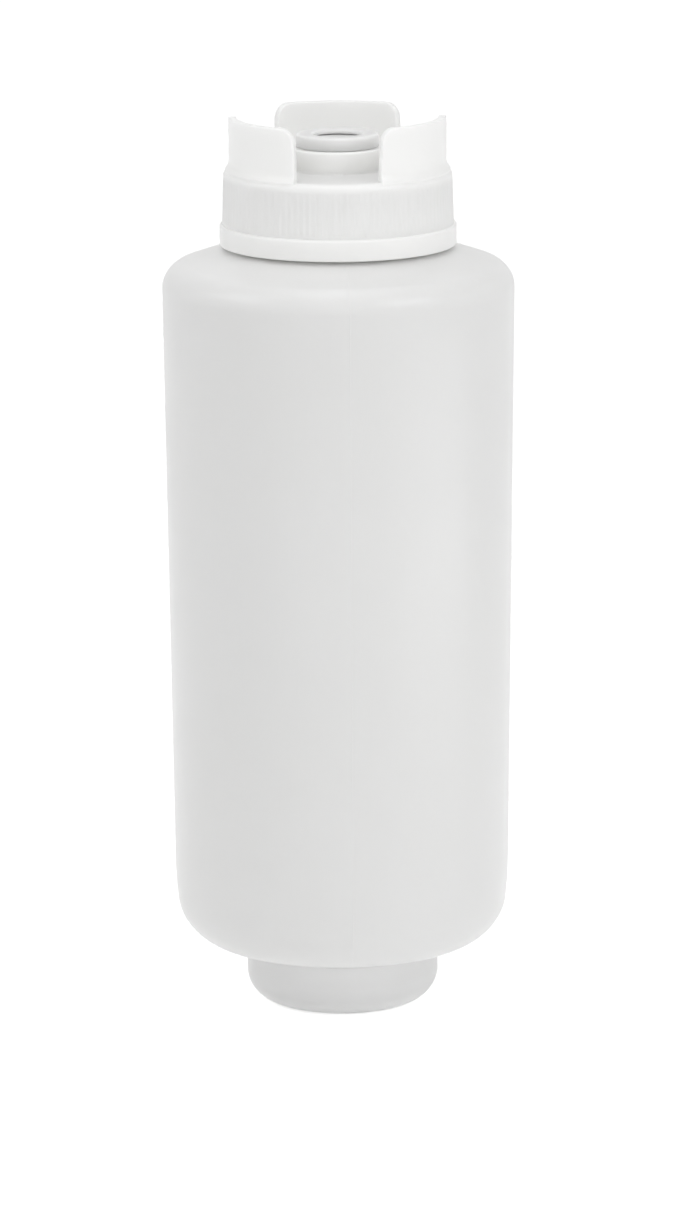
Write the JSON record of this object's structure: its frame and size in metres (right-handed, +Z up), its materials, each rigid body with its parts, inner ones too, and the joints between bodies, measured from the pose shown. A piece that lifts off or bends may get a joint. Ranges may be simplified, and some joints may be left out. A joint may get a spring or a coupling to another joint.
{
  "type": "inverted squeeze bottle",
  "caption": "Translucent two-ended squeeze bottle: ribbed screw cap with three standing tabs and a slit valve at one end, smooth rounded refill cap at the other.",
  "frame": {"origin": "middle of the refill cap's underside, on which the bottle stands", "axes": "+Z up along the bottle's axis, from the refill cap to the dispensing end; one of the three tabs points along +Y, and the picture looks along +Y"},
  "size_m": [0.0888, 0.0888, 0.2286],
  "materials": {
    "translucent_bottle": "milky translucent blow-moulded polyethylene, satin",
    "natural_cap": "natural white moulded polypropylene, satin",
    "clear_silicone": "milky clear silicone, smooth",
    "foam_seal": "white closed-cell foam, matt"
  },
  "bodies": {
    "bottle": {"bottle_body": "translucent_bottle"},
    "dispensing_seal": {"dispensing_cap_gasket": "foam_seal"},
    "dispensing_cap": {"dispensing_cap": "natural_cap"},
    "valve": {"valve_retainer": "natural_cap", "silicone_valve": "clear_silicone"},
    "petal_1": {"valve_petal_1": "clear_silicone"},
    "petal_2": {"valve_petal_2": "clear_silicone"},
    "petal_3": {"valve_petal_3": "clear_silicone"},
    "petal_4": {"valve_petal_4": "clear_silicone"},
    "refill_seal": {"refill_cap_liner": "foam_seal"},
    "refill_cap": {"refill_cap": "natural_cap"}
  },
  "joints": [
    {"name": "dispensing_cap_rise", "type": "slide", "parent": "bottle", "child": "dispensing_seal", "axis": [0, 0, 1], "range_m": [0, 0.01694]},
    {"name": "dispensing_cap_turn", "type": "hinge", "parent": "dispensing_seal", "child": "dispensing_cap", "pos_m": [0, 0, 0.2], "axis": [0, 0, 1], "range_deg": [0, 1440]},
    {"name": "valve_retainer_lift", "type": "slide", "parent": "dispensing_cap", "child": "valve", "axis": [0, 0, 1], "range_m": [0, 0.012]},
    {"name": "petal_1_swing", "type": "hinge", "parent": "valve", "child": "petal_1", "pos_m": [0.0046, 0, 0.22274], "axis": [0, 1, 0], "range_deg": [0, 60], "stiffness_Nm_per_rad": 0.0002},
    {"name": "petal_2_swing", "type": "hinge", "parent": "valve", "child": "petal_2", "pos_m": [0, 0.0046, 0.22274], "axis": [-1, 0, 0], "range_deg": [0, 60], "stiffness_Nm_per_rad": 0.0002},
    {"name": "petal_3_swing", "type": "hinge", "parent": "valve", "child": "petal_3", "pos_m": [-0.0046, 0, 0.22274], "axis": [0, -1, 0], "range_deg": [0, 60], "stiffness_Nm_per_rad": 0.0002},
    {"name": "petal_4_swing", "type": "hinge", "parent": "valve", "child": "petal_4", "pos_m": [0, -0.0046, 0.22274], "axis": [1, 0, 0], "range_deg": [0, 60], "stiffness_Nm_per_rad": 0.0002},
    {"name": "refill_cap_drop", "type": "slide", "parent": "bottle", "child": "refill_seal", "axis": [0, 0, -1], "range_m": [0, 0.0106]},
    {"name": "refill_cap_turn", "type": "hinge", "parent": "refill_seal", "child": "refill_cap", "pos_m": [0, 0, 0.007], "axis": [0, 0, -1], "range_deg": [0, 900]}
  ],
  "couplings": [
    {"joint": "dispensing_cap_rise", "follows": "dispensing_cap_turn", "m_per_rad": 0.00067375},
    {"joint": "refill_cap_drop", "follows": "refill_cap_turn", "m_per_rad": 0.00067375},
    {"joint": "petal_2_swing", "follows": "petal_1_swing", "ratio": 1},
    {"joint": "petal_3_swing", "follows": "petal_1_swing", "ratio": 1},
    {"joint": "petal_4_swing", "follows": "petal_1_swing", "ratio": 1}
  ]
}
